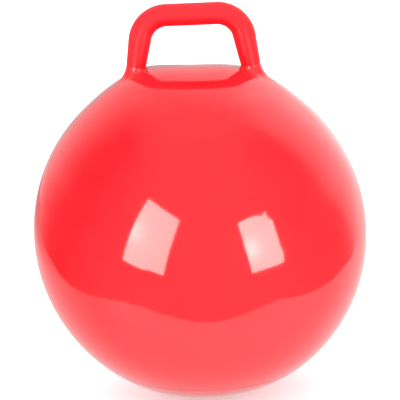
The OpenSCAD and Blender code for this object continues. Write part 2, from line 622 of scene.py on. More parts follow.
@dataclass(frozen=True)
class Cloud:
    """A noise: its features per metre, its octaves and how strong the finer octaves are."""

    scale: float
    octaves: float
    rough: float

    def on(self, web: Web, place: Socket) -> Socket:
        """The noise at a place, in the tree of a finish."""
        node = web.add("TexNoise", Vector=place, Scale=self.scale, Detail=self.octaves, Roughness=self.rough)
        return node.outputs["Fac"]


@dataclass(frozen=True)
class MouldedFinish:
    """What moulded plastics share: a body colour with a faint mottle, and a roughness that varies in smears.

    The colours are linear. A span holds the two ends of a noise that are mapped onto the two colours, or
    onto the swing of the roughness.
    """

    name: str
    colour: tuple[float, float, float]
    deep: tuple[float, float, float]
    rough: float = 0.42
    ior: float = 1.5
    mottle: Cloud = Cloud(120, 3, 0.55)
    mottle_span: tuple[float, float] = (0.3, 0.7)
    smear: Cloud = Cloud(260, 3, 0.5)
    smear_span: tuple[float, float] = (0.3, 0.7)
    rough_swing: tuple[float, float] = (0.85, 1.2)
    grain: Cloud = Cloud(3200, 2, 0.6)
    grain_depth: float = 0.00001

    def make(self) -> bpy.types.Material:
        """Build the material.

        Returns:
            The new material.
        """
        material = bpy.data.materials.new(self.name)
        web = Web(material)
        place = web.place()
        colour = web.ramp(self.mottle.on(web, place), list(zip(self.mottle_span, (self.deep, self.colour))))
        low, high = (self.rough * swing for swing in self.rough_swing)
        rough = web.span(self.smear.on(web, place), *self.smear_span, low, high)
        shader = web.add("BsdfPrincipled", Base_Color=colour, Roughness=rough, IOR=self.ior)
        self.surface(web, place, shader)
        web.finish("OutputMaterial", shader.outputs[0])
        return material

    def surface(self, web: Web, place: Socket, shader: bpy.types.Node) -> None:
        """Give the shader its fine grain."""
        web.feed(shader.inputs["Normal"], web.bump(self.grain.on(web, place), self.grain_depth))


@dataclass(frozen=True)
class GlossVinyl(MouldedFinish):
    """Soft gloss PVC: a saturated body colour under a wet-looking coat, with faint mould waviness.

    The coat is more matt within neck_reach of the foot of each leg, where the skin is bonded to the handle.
    """

    rough: float = 0.10
    mottle: Cloud = Cloud(9, 3, 0.5)
    mottle_span: tuple[float, float] = (0.35, 0.65)
    smear: Cloud = Cloud(31, 4, 0.6)
    smear_span: tuple[float, float] = (0.35, 0.7)
    rough_swing: tuple[float, float] = (0.8, 1.5)
    grain: Cloud = Cloud(2600, 2, 0.5)
    grain_depth: float = 0.0000012
    swell: Cloud = Cloud(42, 1, 0.4)
    swell_depth: float = 0.000022
    gloss: float = 1.0
    coat_rough: float = 0.012
    neck: tuple[float, float, float] = (0.076, 0.0, 0.440)
    neck_reach: tuple[float, float] = (0.020, 0.034)
    neck_matt: float = 0.34

    def surface(self, web: Web, place: Socket, shader: bpy.types.Node) -> None:
        """Give the shader its waves, its grain and its coat.

        Args:
            web: The material's tree.
            place: Object coordinates.
            shader: The Principled shader.
        """
        swell = web.bump(self.swell.on(web, place), self.swell_depth)
        bump = web.bump(self.grain.on(web, place), self.grain_depth, swell)
        mirrored = web.add("VectorMath", place, operation="ABSOLUTE").outputs["Vector"]
        matt = web.span(web.distance(mirrored, self.neck), *self.neck_reach, self.neck_matt, self.coat_rough)
        for name, value in (("Normal", bump), ("Coat Normal", bump), ("Coat Roughness", matt),
                            ("Specular IOR Level", self.gloss / 2), ("Coat Weight", self.gloss),
                            ("Coat IOR", self.ior)):
            web.feed(shader.inputs[name], value)


@dataclass(frozen=True)
class SatinPlastic(MouldedFinish):
    """Injection-moulded polyethylene or soft PVC: satin, grained, and a little light passes into it."""

    depth_light: float = 0.08
    depth_reach: tuple[float, float, float] = (0.004, 0.003, 0.002)

    def surface(self, web: Web, place: Socket, shader: bpy.types.Node) -> None:
        """Give the shader its grain and its depth.

        Args:
            web: The material's tree.
            place: Object coordinates.
            shader: The Principled shader.
        """
        super().surface(web, place, shader)
        shader.inputs["Subsurface Weight"].default_value = self.depth_light
        shader.inputs["Subsurface Radius"].default_value = self.depth_reach


BALL_RED = GlossVinyl("gloss_vinyl_ball", (0.95, 0.0115, 0.0205), (0.93, 0.0100, 0.0185))
HANDLE_RED = GlossVinyl("gloss_vinyl_handle", (0.94, 0.0085, 0.0185), (0.91, 0.0070, 0.0160), rough=0.38,
                        coat_rough=0.34, gloss=0.4, swell_depth=0.000012)
SEAT_RED = SatinPlastic("satin_vinyl_seat", (0.80, 0.016, 0.026), (0.74, 0.013, 0.022), rough=0.28)
PLUG_WHITE = SatinPlastic("satin_polythene_plug", (0.52, 0.51, 0.48), (0.46, 0.45, 0.42))


def dress(piece: bpy.types.Object, finish: MouldedFinish, node: str, body: Body) -> None:
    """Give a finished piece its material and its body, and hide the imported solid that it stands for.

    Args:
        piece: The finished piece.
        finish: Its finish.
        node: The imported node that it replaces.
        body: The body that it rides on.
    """
    piece.data.materials.clear()
    piece.data.materials.append(finish.make())
    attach(piece, body.value)
    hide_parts(node)
    LOG.info("%s: %d faces on %s", piece.name, len(piece.data.polygons), body.value)


@dataclass
class Opening:
    """A round hole in the grid of the skin, from whose rim rings of faces grow inward."""

    sizes: Sizes
    piece: bpy.types.Object
    axes: Axes
    reach: float
    rim_reach_share: float = 1.5
    relax_reach: float = 0.022
    relax_rounds: int = 24
    relax_pull: float = 0.7

    def __post_init__(self) -> None:
        """Find the height of the ball's centre in the opening's frame."""
        self.middle = self.axes.local(self.sizes.centre)[2]

    def cut(self, rings: Sequence[Ring]) -> None:
        """Cut the hole, even out the grid round it and grow its rings.

        Args:
            rings: For each ring, a function from a turn to a point.
        """
        mesh = Bench.edit(self.piece, "FACE")
        Bench.pick(self.piece, [f for f in mesh.faces if self.near(f.calc_center_median(), self.reach)])
        places, turns = self.open_rim(1)
        self.relax(mesh)
        self.fill(places, turns, rings)
        Bench.clear()

    def sink(self, rings: Sequence[Ring], cuts: int) -> None:
        """Open the picked faces, grow the rings of a dimple and close its middle.

        Args:
            rings: For each ring, a function from a turn to a point.
            cuts: How many cuts to make in each edge of the rim.
        """
        places, turns = self.open_rim(cuts)
        self.fill(places, turns, rings)
        bpy.ops.mesh.merge(type="CENTER")
        Bench.clear()

    def near(self, spot: Vector, reach: float) -> bool:
        """Whether a point is within a reach of the axis, on the opening's side of the ball."""
        rho, _, s = self.axes.local(spot)
        return rho < reach and s > self.middle

    def rim(self, mesh: bmesh.types.BMesh) -> list[bmesh.types.BMEdge]:
        """The open edges round the hole."""
        wide = self.reach * self.rim_reach_share
        return [e for e in mesh.edges if e.is_boundary and self.near(e.verts[0].co, wide)]

    def open_rim(self, cuts: int) -> tuple[list[Vector], list[float]]:
        """Delete the picked faces, and make the hole's rim round and even.

        Args:
            cuts: How many cuts to make in each edge of the rim.

        Returns:
            The rim's points in order, and their turns round the axis.
        """
        bpy.ops.mesh.delete(type="FACE")
        bpy.ops.mesh.select_mode(type="EDGE")
        mesh = bmesh.from_edit_mesh(self.piece.data)
        Bench.pick(self.piece, self.rim(mesh))
        bpy.ops.mesh.subdivide(number_cuts=cuts)
        mesh.verts.index_update()
        loop = Bench.walk(self.rim(mesh))
        turns = [self.axes.local(v.co)[1] for v in loop]
        for i in range(1, len(turns)):
            turns[i] += FULL_TURN * round((turns[i - 1] - turns[i]) / FULL_TURN)
        step = FULL_TURN / len(loop) * (1 if turns[-1] > turns[0] else -1)
        start = sum(turn - step * i for i, turn in enumerate(turns)) / len(turns)
        even = [start + step * i for i in range(len(turns))]
        for v, turn in zip(loop, even):
            v.co = self.sizes.on_ball(self.axes, self.reach, turn)
        return [v.co.copy() for v in loop], even

    def relax(self, mesh: bmesh.types.BMesh) -> None:
        """Slide the grid round the hole along the skin until its faces are even again.

        Args:
            mesh: The skin's edit mesh.
        """
        wide = self.reach + self.relax_reach
        near = [v for v in mesh.verts if not v.is_boundary and self.near(v.co, wide)]
        for _ in range(self.relax_rounds):
            spots = []
            for v in near:
                ends = [e.other_vert(v).co for e in v.link_edges]
                spots.append(self.sizes.out(sum(ends, Vector()) / len(ends) - self.sizes.centre))
            for v, spot in zip(near, spots):
                v.co = v.co.lerp(spot, self.relax_pull)

    def fill(self, places: list[Vector], turns: list[float], rings: Sequence[Ring]) -> None:
        """Grow rings of faces from the round rim.

        Args:
            places: The rim's points in order.
            turns: Their turns round the axis.
            rings: For each ring, a function from a turn to a point.
        """
        bpy.ops.mesh.select_all(action="DESELECT")
        mesh = bmesh.from_edit_mesh(self.piece.data)
        Bench.pick(self.piece, self.rim(mesh))
        for ring in rings:
            places = Bench.grow(self.piece, places, [ring(turn) for turn in turns])


@dataclass
class Shoulder:
    """The skin's rise to one leg: the ball, a small fillet, the hollow blend and the lip at the seam.

    The blend is an arc of shoulder_r that hangs down and out from the leg's foot. An angle down the arc is
    0 at the foot.
    """

    sizes: Sizes
    side: Side
    reach: float = 0.048
    fillet_in: float = 0.0032
    fillet_out: float = 0.008
    flat_shares: tuple[float, ...] = (0.3, 0.55, 0.75, 0.9, 1.0)
    fillet_shares: tuple[float, ...] = (0.17, 0.33, 0.5, 0.67, 0.83, 1.0)
    blend_steps: int = 9
    ledge_share: float = 0.6
    search_steps: int = 60
    halvings: int = 30
    over_ball: float = 2e-5

    def __post_init__(self) -> None:
        """Find the leg's frame and the height of its foot."""
        self.leg = self.sizes.leg(self.side)
        self.foot = self.sizes.feet[self.side]
        self.corners: dict[float, float] = {}

    def rings(self) -> list[Ring]:
        """List the rings from the ball up to the seam at the leg's foot.

        Returns:
            For each ring, a function from a turn round the leg to a point.
        """
        seam = self.sizes.seam
        near, far = seam * self.sizes.lip_near_share, seam * self.sizes.lip_far_share
        lips = ((near, far), (far, near), (seam, 0.0), (self.sizes.neck_wall * self.ledge_share, 0.0))
        rings = [partial(self.flat, share) for share in self.flat_shares]
        rings += [partial(self.round_in, share) for share in self.fillet_shares]
        rings += [partial(self.blend, i / self.blend_steps) for i in range(1, self.blend_steps + 1)]
        return rings + [partial(self.lip, inset, drop) for inset, drop in lips]

    def arc(self, angle: float) -> tuple[float, float]:
        """Distance from the leg's axis and height along it, at an angle down the blend's arc."""
        size = self.sizes.shoulder_r
        return self.sizes.blend_u - size * math.cos(angle), self.foot - size * math.sin(angle)

    def on_arc(self, angle: float, turn: float) -> Vector:
        """The point at an angle down the arc and a turn round the leg."""
        rho, s = self.arc(angle)
        return self.leg.point(rho, turn, s)

    def over(self, angle: float, turn: float) -> float:
        """How far the arc stands over the ball, at an angle down it and a turn round the leg."""
        rho, s = self.arc(angle)
        return s - self.leg.local(self.sizes.on_ball(self.leg, rho, turn))[2] - self.over_ball

    def corner(self, turn: float) -> float:
        """Find where the blend meets the ball, once for each turn.

        Args:
            turn: The turn round the leg, from its outer side.

        Returns:
            The angle down the arc.
        """
        if turn not in self.corners:
            touch = math.atan2(self.foot - self.sizes.boss_s, self.sizes.blend_u - self.sizes.boss_u)
            low = high = touch
            for i in range(1, self.search_steps + 1):
                if self.over(touch * i / self.search_steps, turn) < 0:
                    low, high = touch * (i - 1) / self.search_steps, touch * i / self.search_steps
                    break
            for _ in range(self.halvings):
                half = (low + high) / 2
                low, high = (half, high) if self.over(half, turn) > 0 else (low, half)
            self.corners[turn] = low
        return self.corners[turn]

    def fillet(self, turn: float) -> float:
        """Size of the small fillet at one turn round the leg, tight inside and wide outside."""
        return mix(self.fillet_in, self.fillet_out, (1 + math.cos(turn)) / 2)

    def blend_end(self, turn: float) -> float:
        """The angle down the arc at which the blend ends and the fillet begins."""
        return max(0.0, self.corner(turn) - self.fillet(turn) / self.sizes.shoulder_r)

    def flat(self, share: float, turn: float) -> Vector:
        """A point on the ball, at a share of the way in to the fillet."""
        rho = self.arc(self.corner(turn))[0] + self.fillet(turn)
        return self.sizes.on_ball(self.leg, mix(self.reach, rho, share), turn)

    def round_in(self, share: float, turn: float) -> Vector:
        """Find a point on the fillet, which is a curve with its control point at the corner.

        Args:
            share: The share of the way from the ball to the blend.
            turn: The turn round the leg.

        Returns:
            The point.
        """
        corner = self.corner(turn)
        a = self.sizes.on_ball(self.leg, self.arc(corner)[0] + self.fillet(turn), turn)
        b = self.on_arc(corner, turn)
        c = self.on_arc(self.blend_end(turn), turn)
        return a * (1 - share) ** 2 + b * 2 * share * (1 - share) + c * share ** 2

    def blend(self, share: float, turn: float) -> Vector:
        """A point on the hollow blend, at a share of the way from the fillet up to the foot."""
        angle = mix(self.blend_end(turn), self.sizes.seam / self.sizes.shoulder_r, share)
        return self.on_arc(angle, turn)

    def lip(self, inset: float, drop: float, turn: float) -> Vector:
        """A point of the rounded lip at the seam."""
        return self.leg.point(self.sizes.leg_foot_r - inset, turn, self.foot - drop)


@dataclass
class BallSkin:
    """The blown skin: a ball with two shoulders, a moulded ring, a pip mark and the valve's hole.

    Angles run up from the ball's lowest point for the ring, and down from its crown for the pip mark. The
    mesh's wall is wall_share of the part's.
    """

    sizes: Sizes
    grid: int = 56
    crisp: float = math.radians(45)
    wall: float = 0.0012
    wall_share: float = 0.8
    lower_step: float = math.radians(2)
    ring_angle: float = math.radians(37.2)
    ring_w: float = 0.0018
    ring_depth: float = 0.0004
    ring_clear: float = 4
    groove_shares: Pairs = ((-1.7, 0.0), (-1.15, 0.02), (-0.9, 0.2), (-0.5, 0.75))
    patch_clear: float = 1.16
    patch_soft_share: float = 0.1
    patch_edge_shares: Pairs = ((0.3, 0.6), (-0.5, 0.1))
    patch_shares: tuple[float, ...] = (0.88, 0.7, 0.45, 0.2)
    pip_angle: float = math.radians(33.5)
    pip_turn: float = math.radians(10.5)
    pip_r: float = 0.0019
    pip_depth: float = 0.0005
    pip_reach: float = 0.0027
    pip_square_share: float = 0.85
    pip_cuts: int = 5
    pip_shares: Pairs = ((1.35, 0.03), (1.1, 0.12), (0.85, 0.4), (0.6, 0.72), (0.35, 0.93), (0.12, 1.0))
    valve_hole_r: float = 0.0131
    valve_reach: float = 0.030
    valve_edge_share: float = 1.6
    valve_flat_shares: tuple[float, ...] = (0.3, 0.55, 0.75, 0.9, 1.0)
    valve_edge_shares: Pairs = ((1.0, 0.02), (0.5, 0.14), (0.15, 0.45), (0.0, 1.0))

    def build(self) -> bpy.types.Object:
        """Model the skin.

        Returns:
            The finished piece.
        """
        piece = self.upper_half()
        self.lower_half(piece)
        for side in Side:
            shoulder = Shoulder(self.sizes, side)
            Opening(self.sizes, piece, shoulder.leg, shoulder.reach).cut(shoulder.rings())
        Opening(self.sizes, piece, self.sizes.valve, self.valve_reach).cut(self.valve_rings())
        self.pip_mark(piece)
        Bench.close(piece, self.crisp)
        self.thicken(piece)
        dress(piece, BALL_RED, "ball_skin", Body.BALL)
        return piece

    def upper_half(self) -> bpy.types.Object:
        """Round a subdivided cube into a ball and keep its upper half, open at the equator.

        Returns:
            The new piece.
        """
        Bench.clear()
        bpy.ops.mesh.primitive_cube_add(size=2, location=(0, 0, 0))
        piece = Bench.named("skin")
        mesh = Bench.edit(piece, "FACE")
        bpy.ops.mesh.select_all(action="SELECT")
        bpy.ops.mesh.subdivide(number_cuts=self.grid - 1)
        bpy.ops.mesh.select_all(action="DESELECT")
        for v in mesh.verts:
            v.co = self.sizes.out(Vector([math.tan(c * math.pi / 4) for c in v.co]))
        Bench.pick(piece, [f for f in mesh.faces if f.calc_center_median().z < self.sizes.centre.z])
        bpy.ops.mesh.delete(type="FACE")
        Bench.clear()
        return piece

    def lower_half(self, piece: bpy.types.Object) -> None:
        """Extrude the equator down ring by ring, over the moulded ring, to the flat patch.

        Args:
            piece: The upper half.
        """
        mesh = Bench.edit(piece, "EDGE")
        edges = [e for e in mesh.edges if e.is_boundary]
        places = [v.co.copy() for v in Bench.walk(edges)]
        turns = [math.atan2(p.y, p.x) for p in places]
        Bench.pick(piece, edges)
        for radius, z in self.lower_rings():
            ring = [Vector((radius * math.cos(t), radius * math.sin(t), z)) for t in turns]
            ways = [(p - self.sizes.centre).normalized() for p in ring]
            places = Bench.grow(piece, places, [p + w * self.sizes.lean_out(w) for p, w in zip(ring, ways)])
        bpy.ops.mesh.merge(type="CENTER")
        Bench.clear()

    def lower_rings(self) -> list[tuple[float, float]]:
        """List the rings below the equator, finer over the moulded ring and at the edge of the patch.

        Returns:
            Radius and height of each ring, from the top down.
        """
        r, middle, patch = self.sizes.ball_r, self.sizes.centre.z, self.sizes.patch_r
        half = self.ring_w / 2 / r
        groove = self.groove_shares + ((0.0, 1.0),) + tuple((-at, deep) for at, deep in self.groove_shares)
        marks = [(self.ring_angle - at * half, deep) for at, deep in groove]
        rim = math.asin(patch / r)
        for i in range(1, int(math.pi / 2 / self.lower_step)):
            angle = math.pi / 2 - self.lower_step * i
            if abs(angle - self.ring_angle) > self.ring_clear * half and angle > rim * self.patch_clear:
                marks.append((angle, 0.0))
        rings = []
        for angle, deep in sorted(marks, reverse=True):
            reach = r - self.ring_depth * deep
            rings.append((reach * math.sin(angle), middle - reach * math.cos(angle)))
        soft = patch * self.patch_soft_share
        rings.append((patch + soft, middle - math.sqrt(r * r - (patch + soft) ** 2)))
        rings += [(patch + soft * out, self.ring_depth * up) for out, up in self.patch_edge_shares]
        return rings + [(patch * share, 0.0) for share in self.patch_shares]

    def valve_rings(self) -> list[Ring]:
        """List the rings from the ball in to the rounded edge of the valve's hole.

        Returns:
            For each ring, a function from a turn round the valve's axis to a point.
        """
        hole, edge, valve = self.valve_hole_r, self.sizes.seam, self.sizes.valve
        inner = hole + edge * self.valve_edge_share
        marks = [(mix(self.valve_reach, inner, share), 0.0) for share in self.valve_flat_shares]
        marks += [(hole + edge * out, edge * deep) for out, deep in self.valve_edge_shares]
        return [partial(self.sizes.under, valve, rho, deep) for rho, deep in marks]

    def pip_mark(self, piece: bpy.types.Object) -> None:
        """Sink the pip mark's dimple into the face of the skin that is nearest to it.

        Args:
            piece: The skin.
        """
        across = math.sin(self.pip_angle)
        pip_way = Vector((across * math.sin(self.pip_turn), -across * math.cos(self.pip_turn),
                          math.cos(self.pip_angle)))
        aim = self.sizes.out(pip_way)
        mesh = Bench.edit(piece, "FACE")
        face = min(mesh.faces, key=lambda f: (f.calc_center_median() - aim).length)
        way = (face.calc_center_median() - self.sizes.centre).normalized()
        axes = Axes(self.sizes.centre, way, Vector((0, 0, 1)).cross(way))
        inset = math.sqrt(face.calc_area()) / 2 - self.pip_reach * self.pip_square_share
        Bench.pick(piece, [face])
        bpy.ops.mesh.inset(thickness=inset)
        rings = [partial(self.sizes.under, axes, self.pip_r * out, self.pip_depth * deep)
                 for out, deep in self.pip_shares]
        Opening(self.sizes, piece, axes, self.pip_reach).sink(rings, self.pip_cuts)

    def thicken(self, piece: bpy.types.Object) -> None:
        """Give the skin its wall, thicker round the handle's spigots.

        Args:
            piece: The skin.
        """
        group = piece.vertex_groups.new(name="neck")
        thin, foot_r = self.wall / self.sizes.neck_wall, self.sizes.leg_foot_r
        legs = [self.sizes.leg(side) for side in Side]
        for v in piece.data.vertices:
            near = min(leg.local(v.co)[0] for leg in legs)
            upper = v.co.z > self.sizes.centre.z
            share = ease(1.0, thin, (near - foot_r) / foot_r) if upper else thin
            group.add([v.index], share, "REPLACE")
        Bench.wall(piece, self.sizes.neck_wall * self.wall_share, group.name)


@dataclass
class Handle:
    """The hollow D-shaped handle: the grip bar, two bends and two tapered legs, each with its spigot."""

    sizes: Sizes
    segments: int = 72
    crisp: float = math.radians(45)
    wall: float = 0.0022
    spigot_r: float = 0.0098
    spigot_len: float = 0.012
    leg_steps: int = 7
    bend_steps: int = 20
    bar_half_steps: int = 4

    def build(self) -> bpy.types.Object:
        """Model the handle.

        Returns:
            The finished piece.
        """
        rings = [partial(self.tube, *station) for station in self.stations()]
        piece = Bench.loft("d_handle", rings, self.segments, False)
        Bench.close(piece, self.crisp)
        Bench.wall(piece, self.wall)
        dress(piece, HANDLE_RED, "handle", Body.BALL)
        return piece

    @staticmethod
    def tube(centre: Vector, along: Vector, radius: float, turn: float) -> Vector:
        """A point of the tube's outside, where its line runs in the plane of the handle."""
        out = Vector((0, 1, 0))
        return centre + (out * math.cos(turn) + along.cross(out) * math.sin(turn)) * radius

    def stations(self) -> list[Station]:
        """List the rings of the tube from the right foot to the left foot.

        Returns:
            Middle, direction and radius of each.
        """
        flip = Vector((-1, 1, 1))
        left = [(c * flip, Vector((a.x, 0, -a.z)), r) for c, a, r in reversed(self.half(Side.LEFT)[:-1])]
        return self.half(Side.RIGHT) + left

    def half(self, side: Side) -> list[Station]:
        """List the rings from one foot to the middle of the bar, drawn as on the right.

        Args:
            side: The leg whose foot they start from.

        Returns:
            Middle, direction and radius of each.
        """
        sizes = self.sizes
        leg, seam, foot, foot_r = sizes.leg(Side.RIGHT), sizes.seam, sizes.feet[side], sizes.leg_foot_r
        near, far = seam * sizes.lip_near_share, seam * sizes.lip_far_share
        spigot = [(-self.spigot_len, self.spigot_r - seam), (seam * 2 - self.spigot_len, self.spigot_r),
                  (-seam, self.spigot_r), (0.0, self.spigot_r + seam)]
        lip = [(0.0, foot_r - seam), (near, foot_r - far), (far, foot_r - near)]
        marks = [(leg.point(0, 0, foot + s), leg.axis, r) for s, r in spigot + lip]
        for share in (i / self.leg_steps for i in range(self.leg_steps)):
            spot = leg.point(0, 0, mix(foot + seam, 0, share))
            marks.append((spot, leg.axis, mix(foot_r, sizes.leg_top_r, share)))
        for share in (i / self.bend_steps for i in range(self.bend_steps + 1)):
            angle = mix(sizes.leg_lean, math.pi / 2, share)
            out, up = math.cos(angle), math.sin(angle)
            spot = Vector((sizes.bend_x + sizes.bend_r * out, 0, sizes.bend_z + sizes.bend_r * up))
            marks.append((spot, Vector((-up, 0, out)), mix(sizes.leg_top_r, sizes.grip_r, share)))
        for i in range(1, self.bar_half_steps + 1):
            x = sizes.bend_x * (1 - i / self.bar_half_steps)
            marks.append((Vector((x, 0, sizes.bar_z)), Vector((-1, 0, 0)), sizes.grip_r))
        return marks


@dataclass
class Valve:
    """The valve: a soft bush bonded into the skin, and the ribbed plug that is pulled out of it.

    Heights run out of the ball along the valve's axis, from its centre. The seat's corners are shares of
    the rounded edge, out and up from the sharp corner.
    """

    sizes: Sizes
    segments: int = 64
    crisp: float = math.radians(40)
    edge: float = 0.0004
    seat_r: float = 0.013
    seat_depth: float = 0.015
    collar_shares: Pairs = ((0.0, -1.0), (-0.3, -0.2), (-1.0, 0.1))
    recess_shares: Pairs = ((1.0, 0.0), (0.3, -0.25), (0.0, -1.0))
    skin_t: float = 0.0013
    flange_r: float = 0.019
    flange_t: float = 0.003
    bore_r: float = 0.004
    recess_r: float = 0.0093
    recess_depth: float = 0.0027
    notch_r: float = 0.0025
    notch_turn: float = -math.pi / 2
    head_r: float = 0.009
    head_t: float = 0.0024
    head_edge_share: float = 0.25
    head_steps: int = 5
    dimple_r: float = 0.0045
    dimple_depth: float = 0.0006
    dimple_shares: Pairs = ((1.0, 0.0), (0.85, 0.25), (0.6, 0.65), (0.35, 0.9), (0.12, 1.0))
    stem_r: float = 0.00394
    stem_len: float = 0.019
    rib_h: float = 0.0016
    rib_depth: float = 0.0005
    rib_count: int = 4
    nose_len: float = 0.003
    core_r: float = 0.0016
    core_end_share: float = 0.3

    def build(self) -> list[bpy.types.Object]:
        """Model the seat and the plug.

        Returns:
            The two finished pieces.
        """
        return [self.seat(), self.plug()]

    def turned(self, rho: float, s: float, turn: float) -> Vector:
        """A point of a round ring at a height."""
        return self.sizes.valve.point(rho, turn, s)

    def notched(self, rho: float, s: float, turn: float) -> Vector:
        """Find a point of a ring of the recess, let out by the fingernail notch.

        Args:
            rho: The ring's radius away from the notch.
            s: Its height.
            turn: The turn round the valve's axis.

        Returns:
            The point.
        """
        middle = self.recess_r - self.notch_r / 2
        off = math.atan2(math.sin(turn - self.notch_turn), math.cos(turn - self.notch_turn))
        across = middle * math.sin(off)
        reach = 0.0
        if math.cos(off) > 0 and abs(across) < self.notch_r:
            reach = middle * math.cos(off) + math.sqrt(self.notch_r ** 2 - across ** 2)
        return self.turned(max(rho, reach + rho - self.recess_r), s, turn)

    def seat(self) -> bpy.types.Object:
        """Turn the seat: collar, recess for the head, bore and inner flange.

        Returns:
            The finished piece.
        """
        r, edge = self.sizes.ball_r, self.edge
        seat_r, flange_r, bore_r = self.seat_r, self.flange_r, self.bore_r
        top = math.sqrt(r * r - seat_r ** 2)
        rim = math.sqrt(r * r - self.recess_r ** 2)
        floor = r - self.recess_depth
        bottom = r - self.seat_depth
        flange_top = math.sqrt((r - self.skin_t) ** 2 - flange_r ** 2)
        neck_top = math.sqrt((r - self.skin_t) ** 2 - seat_r ** 2)
        flange_bottom = flange_top - self.flange_t
        collar = [(seat_r + edge * out, top + edge * up) for out, up in self.collar_shares]
        recess = [(self.recess_r + edge * out, rim + edge * up) for out, up in self.recess_shares]
        recess.append((self.recess_r, floor))
        bore = [(bore_r + edge, floor), (bore_r, floor - edge),
                (bore_r, bottom + edge), (bore_r + edge, bottom)]
        flange = [(seat_r, flange_bottom), (flange_r - edge, flange_bottom),
                  (flange_r, flange_bottom + edge), (flange_r, flange_top - edge),
                  (flange_r - edge, flange_top), (seat_r, neck_top)]
        outside = [(seat_r - edge, bottom), (seat_r, bottom + edge)] + flange + [collar[0]]
        rings = [partial(self.turned, *mark) for mark in collar]
        rings += [partial(self.notched, *mark) for mark in recess]
        rings += [partial(self.turned, *mark) for mark in bore + outside]
        piece = Bench.loft("valve_bush", rings, self.segments, False)
        Bench.close(piece, self.crisp)
        dress(piece, SEAT_RED, "valve_seat", Body.BALL)
        return piece

    def plug(self) -> bpy.types.Object:
        """Turn the plug: cored stem, ribs, and a head with a rounded edge and a dimple.

        Returns:
            The finished piece.
        """
        head = self.sizes.ball_r - self.head_t
        tip = head - self.stem_len
        fine = self.edge / 2
        slim = self.stem_r - self.rib_depth
        nose = slim - self.rib_depth
        pitch = (self.stem_len - self.nose_len) / self.rib_count
        marks = [(self.core_r * self.core_end_share, head - fine), (self.core_r, head - fine),
                 (self.core_r, tip + fine), (self.core_r + fine, tip), (nose, tip), (nose + fine, tip + fine),
                 (slim, tip + self.nose_len)]
        for i in reversed(range(self.rib_count)):
            low = head - (i + 1) * pitch
            high = low + self.rib_h
            marks += [(slim, low), (self.stem_r - fine, low), (self.stem_r, low + fine),
                      (self.stem_r, high - fine), (self.stem_r - fine, high), (slim, high)]
        edge = self.head_t * self.head_edge_share
        bends = [math.pi / 2 * i / self.head_steps for i in range(self.head_steps + 1)]
        round_edge = [(self.head_r - edge + edge * math.sin(a), (1 - math.cos(a)) * edge) for a in bends]
        top = head + self.head_t
        marks += [(slim, head)] + [(rho, head + s) for rho, s in round_edge]
        marks += [(rho, top - s) for rho, s in reversed(round_edge)] + [(self.dimple_r + fine, top)]
        marks += [(self.dimple_r * out, top - self.dimple_depth * deep) for out, deep in self.dimple_shares]
        piece = Bench.loft("pull_plug", [partial(self.turned, *mark) for mark in marks], self.segments, True)
        Bench.close(piece, self.crisp)
        dress(piece, PLUG_WHITE, "valve_plug", Body.PLUG)
        return piece


@dataclass(frozen=True)
class SoftBox:
    """A soft box: its corners and its lamp as azimuth and elevation from the ball, and its levels.

    Power is the level that lights the part, and mirrored is the level that gloss shows of it.
    """

    name: str
    corners: Pairs
    lamp: tuple[float, float]
    power: float
    mirrored: float
    distance: float = 0.8


